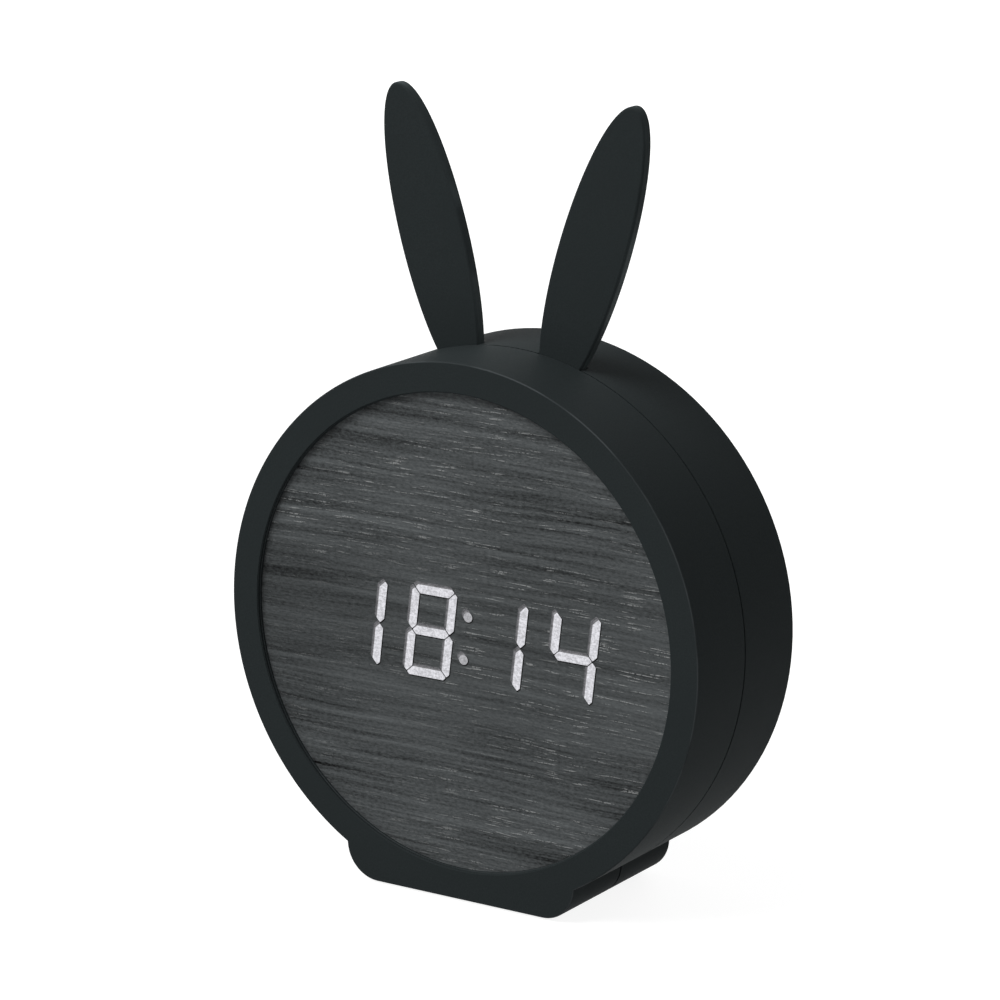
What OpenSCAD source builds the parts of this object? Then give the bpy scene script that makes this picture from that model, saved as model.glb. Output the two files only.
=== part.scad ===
// Alarm clock: a round drum on a block foot, with two flat ears and a wood face that
// seven-segment digits shine through. Millimetres, +Z up, and the face looks along -Y.
// The origin lies on the table, under the middle of the drum.

/* [Drum] */
// Outer diameter of the drum
drum_d = 120; // [112:1:140]
// Depth of the drum, from the ring's front to the back
drum_depth = 40; // [39:0.5:55]
// Wall thickness of both housings
wall = 2.4; // [2:0.1:2.8]
// Distance of the seam behind the front
seam_depth = 19.5; // [17.5:0.25:21]
// Depth and width of the shadow groove along the seam
seam_groove = 0.35; // [0.2:0.05:0.6]
// Width of the ring round the face
ring_w = 6.7; // [5.6:0.1:8]

/* [Foot] */
// Width of the block foot
foot_w = 59.2; // [52:0.4:72]
// Radius of the foot's lower corners
foot_corner = 8; // [6:0.5:10]
// Length of each rubber strip under the foot
strip_l = 38; // [24:1:42]
// Width of each rubber strip
strip_w = 6; // [4:0.5:9]
// How deep the strips lie in their grooves
strip_sunk = 0.8; // [0.4:0.1:1.2]
// How far the strips stand out below the foot
strip_stand = 0.5; // [0.3:0.1:1]

/* [Ears] */
// Length of an ear, its hidden tip included
ear_l = 67.4; // [54:0.2:80]
// Width of an ear
ear_w = 16.6; // [14:0.2:19]
// Thickness of an ear
ear_t = 3; // [2.4:0.1:3.6]
// Bevel round the edge of an ear
ear_bevel = 0.4; // [0.2:0.1:1.1]
// Outward tilt of the ears
ear_tilt = 17.2; // [12:0.2:20]
// Backward lean of the ears
ear_lean = 1.6; // [0.6:0.2:2.4]
// Angle from the top at which an ear leaves the drum
ear_angle = 12.6; // [11.5:0.1:16]
// Length of an ear's tip inside the drum
ear_sunk = 8.8; // [8:0.1:11]

/* [Face] */
// How far the face lies behind the front of the ring
face_recess = 1.3; // [1:0.1:3]
// Gap round the veneer's edge
face_gap = 0.2; // [0.1:0.05:0.4]
// Thickness of the wood veneer
veneer_t = 0.6; // [0.4:0.1:1]
// Thickness of the adhesive sheet behind the veneer
adhesive_t = 0.2; // [0.1:0.05:0.3]
// Thickness of the deck that carries the face
deck_t = 2; // [1.6:0.1:2.6]

/* [Display] */
// Sideways place of the display's middle
display_x = 1.2; // [-1.4:0.1:1.4]
// Height of the display's middle above the drum's axis
display_z = -0.8; // [-2:0.1:2]
// Distance between neighbouring digits
digit_pitch = 18.2; // [16.8:0.1:18.6]
// Width of a digit between its upright segments' middles
digit_w = 9.7; // [8.5:0.1:10.4]
// Height of a digit between its outer segments' middles
digit_h = 18.7; // [16:0.1:19.4]
// Width of a segment
segment_w = 1.95; // [1.6:0.05:2.2]
// Gap between neighbouring segments
segment_gap = 0.3; // [0.2:0.05:0.5]
// Slant of the digits
digit_slant = 7; // [0:0.5:8]
// How far the outer segments' tips are drawn out to a digit's corners
tip_out = 0.35; // [0:0.05:0.6]
// Diameter of a colon dot
dot_d = 2.2; // [1.4:0.1:2.4]
// Distance between the two colon dots
dot_pitch = 9.7; // [7:0.1:11]
// Width of the reflector block
block_w = 74; // [72:0.5:76]
// Height of the reflector block
block_h = 26; // [23:0.5:28]
// Depth of the reflector block
block_depth = 8; // [6.5:0.25:8.5]
// Thickness of the cast lenses in the light wells
lens_t = 1.5; // [1:0.1:3]
// Length of the display board
display_board_w = 90; // [89:0.5:92]
// Height of the display board
display_board_h = 34; // [32:0.5:36]
// Distance of a display board screw from the board's edges
display_hole_in = 3.2; // [3:0.1:3.6]

/* [Electronics] */
// Thickness of both circuit boards
board_t = 1.6; // [1.2:0.1:2]
// Width of the main board
main_board_w = 52; // [50:0.5:56]
// Height of the main board
main_board_h = 36; // [35:0.5:38]
// Distance of a main board screw from the board's edges
main_hole_in = 3.5; // [3:0.1:3.8]
// Diameter of the buzzer
buzzer_d = 12; // [9:0.5:12.5]
// Height of the buzzer
buzzer_h = 6.5; // [5:0.1:6.8]
// Diameter of the microphone capsule
microphone_d = 6; // [4:0.5:6]
// Height of the microphone capsule
microphone_h = 2.7; // [1.5:0.1:4]
// Width of the ribbon cable
ribbon_w = 12; // [8:0.5:16]
// How far the ribbon cable sags between the boards
ribbon_sag = 5; // [2:0.5:8]

/* [Buttons] */
// Width of the sunk button panel in the back
panel_w = 56; // [54:0.5:60]
// Height of the sunk button panel
panel_h = 12; // [11:0.5:13]
// Depth of the sunk button panel
panel_sunk = 2; // [1.6:0.1:2.4]
// Diameter of a button
button_d = 6.8; // [5.5:0.1:7.4]
// Distance between neighbouring buttons
button_pitch = 12; // [11:0.25:12.5]
// How far a button's top stays below the back face
button_below = 0.6; // [0.3:0.1:1.2]
// How far a button travels
button_travel = 0.4; // [0.2:0.05:0.6]
// Width of the flange that keeps a button in
flange_w = 1; // [0.6:0.1:1.4]
// Thickness of that flange
flange_t = 0.8; // [0.6:0.1:1.2]
// Side of a square tact switch
switch_side = 6; // [5:0.5:7]
// Height of a tact switch body
switch_h = 3.4; // [3:0.1:3.8]
// Diameter of a tact switch plunger
plunger_d = 3.4; // [2.6:0.1:3.6]
// How far a plunger stands out of its switch
plunger_h = 0.9; // [0.8:0.05:1.2]
// Width of the power socket
socket_w = 7.6; // [7:0.1:8]
// Height of the power socket
socket_h = 2.8; // [2.6:0.1:3.2]

/* [Battery bay] */
// Diameter of a cell
cell_d = 10.5; // [10:0.1:10.6]
// Length of a cell with its nub
cell_l = 44.5; // [43:0.1:45]
// Length of a contact spring
spring_l = 4.2; // [3:0.1:5]
// Thickness of the bay's walls
bay_wall = 2; // [1.8:0.1:2.4]
// Height of the bay's floor over the inside of the drum's lowest point
bay_rise = 15; // [13:0.5:17]
// Thickness of the battery door
door_t = 2; // [1.6:0.1:2.2]
// Gap round the battery door
door_gap = 0.3; // [0.25:0.05:0.4]

/* [Screws] */
// Outer diameter of the posts for the housing screws
post_d = 8.4; // [8:0.1:9.6]
// Angle of the posts above and below the level line
post_angle = 37; // [34:0.5:40]
// Diameter of a housing screw
housing_screw_d = 3; // [2.5:0.1:3.2]
// Length of a housing screw under its head
housing_screw_l = 12; // [10:0.5:13]
// Diameter of the small screws
small_screw_d = 2; // [1.7:0.1:2.2]
// Length of a small screw under its head
small_screw_l = 6; // [5:0.25:6.5]

/* [Hidden] */
$fn = 96;
eps = 0.01;          // overlap that keeps cuts and joins clean
beyond = 1;          // how far a cut reaches past an outer face

// Clearances
lap_gap = 0.15;      // between the lip and the front housing's wall
slot_gap = 0.15;     // round an ear in its slot
window_gap = 0.3;    // round the reflector block in the deck
guide_gap = 0.15;    // round a button in its hole
rest_gap = 0.1;      // behind a button's flange, and under the door
screw_gap = 0.03;    // round a screw in its pilot hole
hole_gap = 0.15;     // round a screw in a clearance hole
head_gap = 0.3;      // round a screw's head in its counterbore
cell_gap = 0.3;      // between a cell and the bay, the door or the next cell

// Drum
drum_r = drum_d / 2;
front_y = -drum_depth / 2;
axis_z = drum_r + strip_stand;
rear_in = drum_depth - wall;
opening_r = drum_r - ring_w;

// Lip of the rear cover, inside the front housing's wall
lip_t = 1.3;
lip_l = 2;
lip_root = 3;
lip_out = wall + lap_gap;
lip_in = lip_out + lip_t;
lip_r = drum_r - lip_in;

// Layers of the face and the display, as distances behind the front
face_back = face_recess + veneer_t;
deck_front = face_back + adhesive_t;
deck_back = deck_front + deck_t;
block_back = face_back + block_depth;
display_back = block_back + board_t;
face_r = opening_r - face_gap;
adhesive_in = 1;     // the adhesive sheet ends this far inside the veneer's edge
led_t = 0.7;
led_l = 1.6;
led_w = 0.8;

// A digit's segments: the middle of each in half widths and quarter heights, and whether it
// lies across. LIT names the lit ones of each digit.
SEGMENTS = [[0, 2, true], [1, 1, false], [1, -1, false], [0, -2, true],
            [-1, -1, false], [-1, 1, false], [0, 0, true]];
LIT = [[1, 2], [0, 1, 2, 3, 4, 5, 6], [1, 2], [1, 2, 5, 6]];

// Ears
ear_bite = 1;        // how far the leaning blade reaches into the wall
ear_root_w = 16;
ear_root_h = 4.5;
ear_sides = 72;
ear_boss_d = 6;
ear_root_top = sqrt(pow(lip_r - 2 * slot_gap, 2) - pow(ear_root_w / 2, 2));
ear_root_r = ear_root_top - ear_root_h / 2;
ear_pivot_z = (drum_r - ear_bite) * cos(ear_angle + asin(ear_w / 2 / drum_r));

// Buttons, switches and the main board, as distances behind the front
panel_out = drum_depth - panel_sunk;
panel_in = panel_out - wall;
button_top = drum_depth - button_below;
flange_back = panel_in - rest_gap;
flange_front = flange_back - flange_t;
switch_top = flange_front - plunger_h;
plunger_in = 1;      // length of a plunger inside its switch
bore_spare = 0.2;    // room behind a pressed plunger
main_back = switch_top - switch_h;
main_front = main_back - board_t;
boss_d = 6;
board_clear = 3;     // between the main board and the ears' bosses
main_top = ear_root_r * cos(ear_angle) - ear_boss_d / 2 - board_clear;
main_z = main_top - main_board_h / 2;
row_down = 4;        // from the main board's middle down to the row of buttons and socket
panel_z = main_z - row_down;
button_count = 3;
first_button_x = -19;
socket_x = 19;
sound_gap = 0.6;             // between the buzzer and the button panel's rim
sound_z = panel_z + panel_h / 2 + wall + sound_gap + buzzer_d / 2;   // buzzer, microphone, sensor
sound_x = 16;                // microphone and sensor, to either side of the buzzer
sound_hole_d = 1.6;
vent_l = 7;
vent_w = 1.2;
vent_pitch = 2.4;
socket_shell = 0.3;
socket_mouth = panel_out - rest_gap;

// What else the boards carry: places are from the middle of the board
chip_l = 18;
chip_w = 7.5;
chip_h = 2.4;
chip_legs = 14;
driver_x = -20;
controller_up = 4;
capacitor_d = 6.3;
capacitor_h = 7;
capacitor_x = -17;
capacitor_up = 3;
crystal_d = 2.1;
crystal_l = 6.2;
crystal_x = 14;
resistor_size = [1, 2];
resistor_t = 0.5;
resistor_count = 7;
resistor_pitch = 3;
resistor_up = 12;
connector_w = 3;     // how much wider a connector is than the ribbon
connector_h = 5;
connector_t = 2.4;
connector_in = 1;    // from the main board's lower edge
ribbon_t = 0.4;
ribbon_z = main_z - main_board_h / 2 + connector_in + connector_h / 2;
ribbon_from = display_back + connector_t;
ribbon_to = main_front - connector_t;

// Battery bay
cell_count = 3;
cell_pitch = cell_d + cell_gap;
contact_t = 0.4;
contact_side = 9;
bay_w = cell_l + spring_l + 2 * contact_t + cell_gap;
bay_h = cell_count * cell_pitch + cell_gap;
bay_low = bay_rise - (drum_r - wall);
bay_z = bay_low + bay_h / 2;
door_in = drum_depth - door_t;
bay_front = door_in - cell_d - 2 * cell_gap;
cell_y = door_in - cell_gap - cell_d / 2;
ledge = 0.9;         // width of the ledge that the door lies on
door_w = bay_w + 2 * ledge;
door_h = bay_h + 2 * ledge;
door_corner = 2;
hook_x = 15;
hook_w = 6;
hook_l = 1.5;
hook_t = 1;
hook_swing = 1.8;    // room in front of the hooks, which they swing through
finger_r = 6;
finger_sunk = 1.2;
nub_d = 3.8;
nub_l = 1;

// Screws and posts
post_r = post_d / 2;
post_ring = lip_r - 1 - post_r;
head_under = 4;      // length of a post under a screw's head
head_seat = seam_depth + head_under;
housing_head_d = 5.4;
housing_head_h = 2;
small_head_d = 3.8;
small_head_h = 1.4;
slot_w = 0.5;        // width of a screw's cross slot
pilot_spare = 0.5;   // depth of a pilot hole past its screw's end

// Battery leads, from the bay's end walls up to the main board
lead_r = 0.6;
lead_sides = 8;
lead_steps = 20;
lead_bulge = 8;      // how far a lead is drawn out to the side
lead_drop = 6;       // from the bay's top down to its start
lead_bend = 4;       // how far it turns up below its end
lead_tail = 2;       // length on the board
lead_end_x = 15;

// ---- shapes in the X-Z plane, about the drum's axis ----

// The outline of drum and foot together, drawn in by inset on every side
module body_outline(inset = 0) {
    circle(r = drum_r - inset);
    foot_outline(foot_w / 2 - inset, drum_r - inset, foot_corner - inset);
}

// A block that hangs from the axis: half width, depth below the axis, lower corners
module foot_outline(half, low, corner) {
    translate([-half, corner - low]) square([2 * half, low - corner]);
    translate([corner - half, -low]) square([2 * (half - corner), low]);
    for (side = [-1, 1]) translate([side * (half - corner), corner - low]) circle(r = corner);
}

module ring_outline(outer, inner) {
    difference() {
        body_outline(outer);
        body_outline(inner);
    }
}

// A bar with round ends
module stadium(length, width) {
    square([length - width, width], center = true);
    for (side = [-1, 1]) translate([side * (length - width) / 2, 0]) circle(d = width);
}

module rounded_box(width, height, corner) {
    square([width - 2 * corner, height], center = true);
    square([width, height - 2 * corner], center = true);
    for (sx = [-1, 1], sy = [-1, 1])
        translate([sx * (width / 2 - corner), sy * (height / 2 - corner)]) circle(r = corner);
}

// An ear's ellipse, standing on the point where its middle line leaves the drum
module ear_outline(grow = 0) {
    translate([drum_r * sin(ear_angle), drum_r * cos(ear_angle)]) rotate(-ear_tilt)
        translate([0, ear_l / 2 - ear_sunk])
            polygon([for (i = [0 : ear_sides - 1]) let (t = 360 * i / ear_sides)
                [(ear_w / 2 + grow) * sin(t), (ear_l / 2 + grow) * cos(t)]]);
}

// Six corners of a segment with pointed ends, along it and outwards across it. The tip at either
// end is drawn out by a length of its own.
function bar(length, first, last) =
    let (tip = length / 2, side = segment_w / 2)
    [[-tip - first, first], [side - tip - 2 * first, side], [tip - side + 2 * last, side],
     [tip + last, last], [tip - side, -side], [side - tip, -side]];

// One segment of a slanted digit: k counts a to g
module segment(digit, k) {
    s = SEGMENTS[k];
    middle = [s[0] * digit_w / 2, s[1] * digit_h / 4];
    length = (s[2] ? digit_w : digit_h / 2) - segment_gap;
    ends = [for (end = [-1, 1]) (s[2] ? s[1] != 0 : end * s[1] > 0) ? tip_out : 0];
    out = s[2] ? (s[1] < 0 ? -1 : 1) : s[0];
    polygon([for (p = bar(length, ends[0], ends[1]))
        let (q = middle + (s[2] ? [p[0], out * p[1]] : [out * p[1], p[0]]))
        [digit_x(digit) + q[0] + q[1] * tan(digit_slant), display_z + q[1]]]);
}

module every_segment() {
    for (digit = [0 : len(LIT) - 1], k = [0 : len(SEGMENTS) - 1]) segment(digit, k);
}

module at_dots() {
    for (side = [-1, 1]) let (z = side * dot_pitch / 2)
        translate([display_x + z * tan(digit_slant), display_z + z]) children();
}

module dots() {
    at_dots() circle(d = dot_d);
}

// ---- placing ----

// Extrudes an X-Z outline between two distances behind the front
module slab(from, to) {
    translate([0, front_y + to, axis_z]) rotate([90, 0, 0]) linear_extrude(to - from) children();
}

// Puts a child at a place given from the drum's axis and its front; +Z of the child looks back
module back_at(x, depth, z) {
    translate([x, front_y + depth, axis_z + z]) rotate([-90, 0, 0]) children();
}

// The same, with +Z of the child looking to the front
module front_at(x, depth, z) {
    translate([x, front_y + depth, axis_z + z]) rotate([90, 0, 0]) children();
}

module at_posts() {
    for (sx = [-1, 1], sz = [-1, 1])
        translate([sx * post_ring * cos(post_angle), sz * post_ring * sin(post_angle)]) children();
}

module at_display_holes() {
    for (sx = [-1, 1], sz = [-1, 1])
        translate([display_x + sx * (display_board_w / 2 - display_hole_in),
                   display_z + sz * (display_board_h / 2 - display_hole_in)]) children();
}

module at_main_holes() {
    for (sx = [-1, 1], sz = [-1, 1])
        translate([sx * (main_board_w / 2 - main_hole_in),
                   main_z + sz * (main_board_h / 2 - main_hole_in)]) children();
}

module at_ear_root() {
    rotate(-ear_angle) translate([0, ear_root_r]) children();
}

module at_buttons() {
    for (k = [0 : button_count - 1]) translate([button_x(k), panel_z]) children();
}

module both_sides() {
    for (side = [0, 1]) mirror([side, 0]) children();
}

function button_x(k) = first_button_x + k * button_pitch;
function digit_x(digit) = display_x + (digit - (len(LIT) - 1) / 2) * digit_pitch;

// A screw with its head above z = 0 and a cross slot
module screw(head_d, head_h, shank_d, length) {
    difference() {
        union() {
            cylinder(d = head_d, h = head_h);
            translate([0, 0, -length]) cylinder(d = shank_d, h = length + eps);
        }
        for (turn = [0, 90]) rotate(turn)
            translate([-head_d / 3, -slot_w / 2, head_h / 2]) cube([head_d / 1.5, slot_w, head_h]);
    }
}

module small_screw() {
    screw(small_head_d, small_head_h, small_screw_d, small_screw_l);
}

// ---- tubes swept along a path ----

// Directions square to a path at point i, the first one as near to ref as can be
function square_to(t, ref) = let (side = cross(t, ref)) side / norm(side);
function ring_at(p, t, ref, r, sides) =
    let (u = square_to(t, ref), v = cross(u, t / norm(t)))
    [for (k = [0 : sides - 1]) p + r * (cos(360 * k / sides) * u + sin(360 * k / sides) * v)];

module tube(path, r, sides, ref) {
    n = len(path);
    rings = [for (i = [0 : n - 1])
        ring_at(path[i], path[min(i + 1, n - 1)] - path[max(i - 1, 0)], ref, r, sides)];
    skin = [for (i = [0 : n - 2], k = [0 : sides - 1]) let (next = (k + 1) % sides)
        [i * sides + k, i * sides + next, (i + 1) * sides + next, (i + 1) * sides + k]];
    ends = [[for (k = [sides - 1 : -1 : 0]) k], [for (k = [0 : sides - 1]) (n - 1) * sides + k]];
    polyhedron([for (ring = rings, p = ring) p], concat(skin, ends), convexity = 6);
}

function bezier(a, b, c, d, t) =
    pow(1 - t, 3) * a + 3 * pow(1 - t, 2) * t * b + 3 * (1 - t) * t * t * c + t * t * t * d;

// ---- housings ----

module front_housing() {
    color([0.16, 0.17, 0.18])
    difference() {
        union() {
            difference() {
                slab(0, seam_depth) body_outline();
                slab(deck_back, seam_depth + eps) body_outline(wall);
                slab(wall, deck_back + eps) difference() {
                    body_outline(wall);
                    circle(r = opening_r + wall);
                }
            }
            slab(deck_back - eps, seam_depth) at_posts() circle(r = post_r);
            slab(deck_back - eps, block_back) at_display_holes() circle(d = boss_d);
        }
        slab(-eps, deck_front) circle(r = opening_r);
        slab(deck_front - eps, deck_back + eps) translate([display_x, display_z])
            square([block_w + 2 * window_gap, block_h + 2 * window_gap], center = true);
        slab(head_seat - housing_screw_l - pilot_spare, seam_depth + eps) at_posts()
            circle(d = housing_screw_d + 2 * screw_gap);
        slab(display_back - small_screw_l - pilot_spare, block_back + eps) at_display_holes()
            circle(d = small_screw_d + 2 * screw_gap);
        strip_groove(seam_depth / 2);
    }
}

module rear_cover() {
    color([0.15, 0.16, 0.17])
    difference() {
        union() {
            difference() {
                slab(seam_depth, drum_depth) body_outline();
                slab(seam_depth - eps, seam_depth + lip_root + eps) body_outline(lip_in);
                slab(seam_depth + lip_root, rear_in) body_outline(wall);
                slab(seam_depth - eps, seam_depth + seam_groove) ring_outline(-beyond, seam_groove);
            }
            slab(seam_depth - lip_l, seam_depth + eps) ring_outline(lip_out, lip_in);
            slab(seam_depth, rear_in + eps) at_posts() circle(r = post_r);
            slab(seam_depth + ear_t, rear_in + eps) both_sides() at_ear_root() circle(d = ear_boss_d);
            slab(main_back, rear_in + eps) at_main_holes() circle(d = boss_d);
            slab(panel_in, rear_in + eps) translate([0, panel_z])
                stadium(panel_w + 2 * wall, panel_h + 2 * wall);
            slab(bay_front - bay_wall, rear_in + eps) translate([0, bay_z])
                square([bay_w + 2 * bay_wall, bay_h + 2 * bay_wall], center = true);
        }
        slab(seam_depth - lip_l - eps, seam_depth + ear_t + slot_gap) both_sides() difference() {
            ear_outline(slot_gap);
            circle(r = lip_r - slot_gap);
        }
        slab(seam_depth - eps, head_seat + eps) at_posts() circle(d = housing_screw_d + 2 * hole_gap);
        slab(head_seat, drum_depth + eps) at_posts() circle(d = housing_head_d + 2 * head_gap);
        slab(seam_depth + ear_t - eps, seam_depth + small_screw_l + pilot_spare) both_sides() at_ear_root()
            circle(d = small_screw_d + 2 * screw_gap);
        slab(main_back - eps, main_front + small_screw_l + pilot_spare) at_main_holes()
            circle(d = small_screw_d + 2 * screw_gap);
        slab(panel_out, drum_depth + eps) translate([0, panel_z]) stadium(panel_w, panel_h);
        slab(panel_in - eps, panel_out + eps) at_buttons() circle(d = button_d + 2 * guide_gap);
        slab(panel_in - eps, panel_out + eps) translate([socket_x, panel_z])
            square([socket_w + 2 * window_gap, socket_h + 2 * window_gap], center = true);
        slab(rear_in - eps, drum_depth + eps) sound_holes();
        slab(bay_front, drum_depth) translate([0, bay_z]) square([bay_w, bay_h], center = true);
        slab(door_in - rest_gap, drum_depth + eps) translate([0, bay_z])
            rounded_box(door_w + 2 * door_gap, door_h + 2 * door_gap, door_corner + door_gap);
        slab(drum_depth - finger_sunk, drum_depth + eps) translate([0, bay_z + door_h / 2])
            circle(r = finger_r);
        hook_slots();
        strip_groove((seam_depth + drum_depth) / 2);
    }
}

// Holes over the buzzer and the microphone, and slots over the temperature sensor
module sound_holes() {
    ring = buzzer_d / 4;
    for (x = [0, sound_x]) translate([x, sound_z]) circle(d = sound_hole_d);
    for (turn = [0 : 60 : 300]) translate([ring * cos(turn), sound_z + ring * sin(turn)])
        circle(d = sound_hole_d);
    for (row = [-1 : 1]) translate([-sound_x, sound_z + row * vent_pitch]) stadium(vent_l, vent_w);
}

// Room for the door's hooks under the skin of the back, and in front of them to swing
module hook_slots() {
    low = bay_z - door_h / 2;
    for (side = [-1, 1])
        slab(door_in - hook_swing, door_in + hook_t + rest_gap)
            translate([side * hook_x - hook_w / 2 - door_gap, low - hook_l - door_gap])
                square([hook_w + 2 * door_gap, hook_l + door_gap + ledge + eps]);
}

module strip_groove(depth) {
    translate([0, front_y + depth, strip_stand - eps])
        linear_extrude(strip_sunk + eps) stadium(strip_l, strip_w);
}

module rubber_strips() {
    color([0.07, 0.07, 0.07])
    for (depth = [seam_depth / 2, (seam_depth + drum_depth) / 2])
        translate([0, front_y + depth, 0]) linear_extrude(strip_stand + strip_sunk)
            stadium(strip_l, strip_w);
}

module housing_screws() {
    color([0.55, 0.56, 0.58])
    for (sx = [-1, 1], sz = [-1, 1])
        back_at(sx * post_ring * cos(post_angle), head_seat, sz * post_ring * sin(post_angle))
            screw(housing_head_d, housing_head_h, housing_screw_d, housing_screw_l);
}

// ---- ears ----

// The right ear: a bevelled blade that leans back, and a flat root behind the front housing
module ear() {
    difference() {
        union() {
            difference() {
                translate([0, front_y + seam_depth, axis_z + ear_pivot_z]) rotate([-ear_lean, 0, 0])
                    translate([0, -front_y - seam_depth, -axis_z - ear_pivot_z]) hull() {
                        slab(seam_depth + ear_bevel, seam_depth + ear_t - ear_bevel) ear_outline();
                        slab(seam_depth, seam_depth + ear_t) ear_outline(-ear_bevel);
                    }
                slab(0, drum_depth) circle(r = drum_r - ear_bite);
            }
            slab(seam_depth, seam_depth + ear_t) intersection() {
                circle(r = drum_r - ear_bite / 2);
                ear_outline();
            }
            slab(seam_depth, seam_depth + ear_t) at_ear_root()
                square([ear_root_w, ear_root_h], center = true);
        }
        slab(seam_depth - eps, seam_depth + ear_t + eps) at_ear_root()
            circle(d = small_screw_d + 2 * hole_gap);
    }
}

module right_ear() {
    color([0.15, 0.17, 0.17]) ear();
}

module left_ear() {
    color([0.15, 0.17, 0.17]) mirror([1, 0, 0]) ear();
}

module ear_screws() {
    color([0.62, 0.62, 0.64])
    for (side = [-1, 1])
        front_at(side * ear_root_r * sin(ear_angle), seam_depth, ear_root_r * cos(ear_angle)) small_screw();
}

// ---- face and display ----

module face_veneer() {
    color([0.29, 0.3, 0.31, 0.6]) slab(face_recess, face_back) circle(r = face_r);
}

module face_adhesive() {
    color([0.1, 0.1, 0.1])
    slab(face_back, deck_front) difference() {
        circle(r = face_r - adhesive_in);
        translate([display_x, display_z])
            square([block_w + 2 * window_gap, block_h + 2 * window_gap], center = true);
    }
}

module display_reflector() {
    color([0.08, 0.08, 0.09])
    slab(face_back, block_back) difference() {
        translate([display_x, display_z]) square([block_w, block_h], center = true);
        every_segment();
        dots();
    }
}

// The cast lenses in front of one digit's lit diodes
module lit_lenses(digit) {
    color([0.96, 0.96, 1]) slab(face_back, face_back + lens_t) for (k = LIT[digit]) segment(digit, k);
}

module colon_dots() {
    color([0.75, 0.75, 0.8]) slab(face_back, face_back + lens_t) dots();
}

module unlit_segments() {
    color([0.25, 0.25, 0.26])
    slab(face_back, face_back + lens_t)
        for (digit = [0 : len(LIT) - 1], k = [0 : len(SEGMENTS) - 1])
            if (len(search(k, LIT[digit])) == 0) segment(digit, k);
}

module segment_leds() {
    color([0.95, 0.93, 0.75]) {
        for (digit = [0 : len(LIT) - 1], k = [0 : len(SEGMENTS) - 1]) {
            s = SEGMENTS[k];
            z = s[1] * digit_h / 4;
            x = digit_x(digit) + s[0] * digit_w / 2 + z * tan(digit_slant);
            size = s[2] ? [led_l, led_w] : [led_w, led_l];
            slab(block_back - led_t, block_back) translate([x, display_z + z]) square(size, center = true);
        }
        slab(block_back - led_t, block_back) at_dots() square(led_w, center = true);
    }
}

module display_board() {
    color([0.05, 0.25, 0.14])
    slab(block_back, display_back) difference() {
        translate([display_x, display_z]) square([display_board_w, display_board_h], center = true);
        at_display_holes() circle(d = small_screw_d + 2 * hole_gap);
    }
}

// A chip with two rows of legs: its board side lies at z = 0
module chip() {
    leg_t = 0.3;
    leg_out = 1;
    pitch = chip_l / chip_legs;
    translate([-chip_l / 2, -chip_w / 2, 0]) cube([chip_l, chip_w, chip_h]);
    for (k = [0 : chip_legs - 1])
        translate([-chip_l / 2 + (k + 0.5) * pitch - leg_t / 2, -chip_w / 2 - leg_out, 0])
            cube([leg_t, chip_w + 2 * leg_out, chip_h / 2]);
}

module driver_chip() {
    color([0.12, 0.12, 0.13]) back_at(display_x + driver_x, display_back, display_z) chip();
}

module display_screws() {
    color([0.62, 0.62, 0.64])
    for (sx = [-1, 1], sz = [-1, 1])
        back_at(display_x + sx * (display_board_w / 2 - display_hole_in), display_back,
                display_z + sz * (display_board_h / 2 - display_hole_in)) small_screw();
}

// ---- ribbon cable and its connectors ----

module ribbon_connectors() {
    color([0.88, 0.86, 0.8])
    for (depth = [display_back, ribbon_to])
        slab(depth, depth + connector_t) translate([0, ribbon_z])
            square([ribbon_w + connector_w, connector_h], center = true);
}

// The cable hangs in half a sine wave between the connectors
module ribbon_cable() {
    steps = 24;
    span = ribbon_to - ribbon_from;
    line = [for (i = [0 : steps]) [span * i / steps, -ribbon_sag * sin(180 * i / steps)]];
    back = [for (i = [steps : -1 : 0]) line[i] + [0, ribbon_t]];
    color([0.82, 0.83, 0.84])
    translate([ribbon_w / 2, front_y + ribbon_from, axis_z + ribbon_z]) rotate([90, 0, -90])
        linear_extrude(ribbon_w) mirror([1, 0]) polygon(concat(line, back));
}

// ---- main board ----

module main_board() {
    color([0.05, 0.25, 0.14])
    slab(main_front, main_back) difference() {
        translate([0, main_z]) square([main_board_w, main_board_h], center = true);
        at_main_holes() circle(d = small_screw_d + 2 * hole_gap);
    }
}

module main_board_screws() {
    color([0.62, 0.62, 0.64])
    for (sx = [-1, 1], sz = [-1, 1])
        front_at(sx * (main_board_w / 2 - main_hole_in), main_front,
                 main_z + sz * (main_board_h / 2 - main_hole_in)) small_screw();
}

module controller_chip() {
    color([0.12, 0.12, 0.13]) front_at(0, main_front, main_z + controller_up) chip();
}

module watch_crystal() {
    color([0.75, 0.75, 0.76])
    translate([crystal_x, front_y + main_front - crystal_d / 2, axis_z + main_z - crystal_l / 2])
        cylinder(d = crystal_d, h = crystal_l);
}

module smoothing_capacitor() {
    color([0.2, 0.22, 0.3])
    front_at(capacitor_x, main_front, main_z + capacitor_up) cylinder(d = capacitor_d, h = capacitor_h);
}

module chip_resistors() {
    color([0.2, 0.2, 0.21])
    for (k = [0 : resistor_count - 1]) slab(main_front - resistor_t, main_front)
        translate([(k - (resistor_count - 1) / 2) * resistor_pitch, main_z + resistor_up])
            square(resistor_size, center = true);
}

module buzzer() {
    mouth_d = 2;
    mouth_deep = 1;
    color([0.1, 0.1, 0.11])
    back_at(0, main_back, sound_z) difference() {
        cylinder(d = buzzer_d, h = buzzer_h);
        translate([0, 0, buzzer_h - mouth_deep]) cylinder(d = mouth_d, h = mouth_deep + eps);
    }
}

module microphone() {
    color([0.7, 0.71, 0.72])
    back_at(sound_x, main_back, sound_z) cylinder(d = microphone_d, h = microphone_h);
}

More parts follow.
